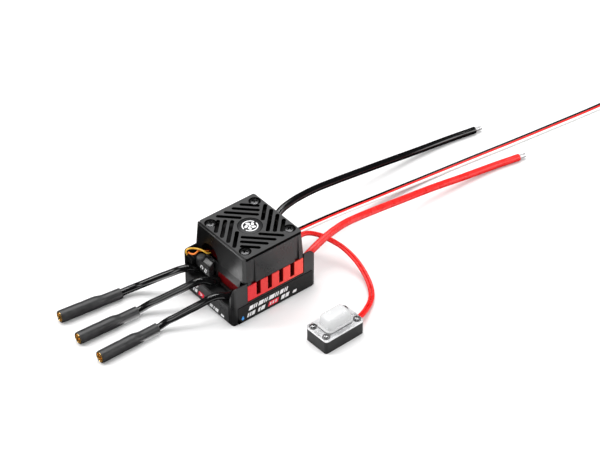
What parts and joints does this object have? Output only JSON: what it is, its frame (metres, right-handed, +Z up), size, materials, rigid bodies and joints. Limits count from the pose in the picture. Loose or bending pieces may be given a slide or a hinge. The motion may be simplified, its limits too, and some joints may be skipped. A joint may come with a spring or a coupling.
{
  "type": "electronic speed controller",
  "caption": "Brushless motor speed controller for a model car: black case, red finned heatsink, fan under a louvred shroud, motor, power and receiver leads, and a slide switch.",
  "frame": {"origin": "centre of the case's flat underside, the face that is taped to a chassis", "axes": "+Z up out of the case's top, +X towards the power leads, -X towards the motor leads, -Y towards the side with the printed label"},
  "size_m": [0.3406, 0.0972, 0.0355],
  "materials": {
    "black_plastic": "fine-grained moulded",
    "shroud_plastic": "fine-grained moulded",
    "red_anodised": "red anodised satin",
    "gloss_label": "glossy film",
    "grey_label": "glossy film",
    "black_silicone": "smooth silicone",
    "red_silicone": "smooth silicone",
    "white_silicone": "smooth silicone",
    "yellow_silicone": "smooth silicone",
    "orange_silicone": "smooth silicone",
    "shrink": "heat-shrunk sleeve",
    "gold": "gold plated",
    "tin": "tinned copper",
    "steel": "black-nickel screw",
    "bright_steel": "bright",
    "grey_rubber": "matt",
    "seal_rubber": "matt",
    "clear_rubber": "translucent silicone",
    "board_green": "circuit board",
    "copper": "copper",
    "pad_grey": "matt",
    "chip_black": "moulded",
    "can_metal": "satin"
  },
  "bodies": {
    "root": {"board_connector": "chip_black", "bottom_cover": "black_plastic", "bullet_socket_1": "gold", "bullet_socket_2": "gold", "bullet_socket_3": "gold", "capacitor_1": "can_metal", "capacitor_2": "can_metal", "centre_badge": "gloss_label", "control_board": "board_green", "end_label": "grey_label", "fan_frame": "black_plastic", "fan_lead_orange": "orange_silicone", "fan_lead_yellow": "yellow_silicone", "fan_plug": "black_plastic", "fan_shroud": "shroud_plastic", "fan_stator": "copper", "grille_screw_1": "steel", "grille_screw_2": "steel", "grille_screw_3": "steel", "grille_screw_4": "steel", "heat_shrink_1": "shrink", "heat_shrink_2": "shrink", "heat_shrink_3": "shrink", "heatsink": "red_anodised", "lower_case": "black_plastic", "motor_lead_1": "black_silicone", "motor_lead_2": "black_silicone", "motor_lead_3": "black_silicone", "motor_lead_seal": "seal_rubber", "port_cap": "grey_rubber", "port_housing": "black_plastic", "power_board": "board_green", "power_lead_black": "black_silicone", "power_lead_red": "red_silicone", "power_lead_seal": "seal_rubber", "power_tip_black": "tin", "power_tip_red": "tin", "processor_chip": "chip_black", "receiver_core_black": "black_silicone", "receiver_core_red": "red_silicone", "receiver_core_white": "white_silicone", "receiver_plug": "black_plastic", "side_label": "gloss_label", "slide_switch": "chip_black", "switch_boot": "clear_rubber", "switch_case": "black_plastic", "switch_lead_1": "red_silicone", "switch_lead_2": "red_silicone", "switch_plate": "bright_steel", "switch_screw_1": "bright_steel", "switch_screw_2": "bright_steel", "switch_screw_3": "bright_steel", "switch_screw_4": "bright_steel", "thermal_pad": "pad_grey", "top_grille": "shroud_plastic", "transistor_row_front": "copper", "transistor_row_rear": "copper"},
    "fan_rotor": {"fan_impeller": "shroud_plastic", "fan_shaft": "bright_steel"},
    "switch_slider": {"switch_slider": "white_silicone"}
  },
  "joints": [
    {"name": "fan_spin", "type": "hinge", "parent": "root", "child": "fan_rotor", "pos_m": [0.00065, 0, 0.0276], "axis": [0, 0, 1], "continuous": true},
    {"name": "switch_slide", "type": "slide", "parent": "root", "child": "switch_slider", "axis": [0.9997, 0.0262, 0], "range_m": [0, 0.0025]}
  ]
}
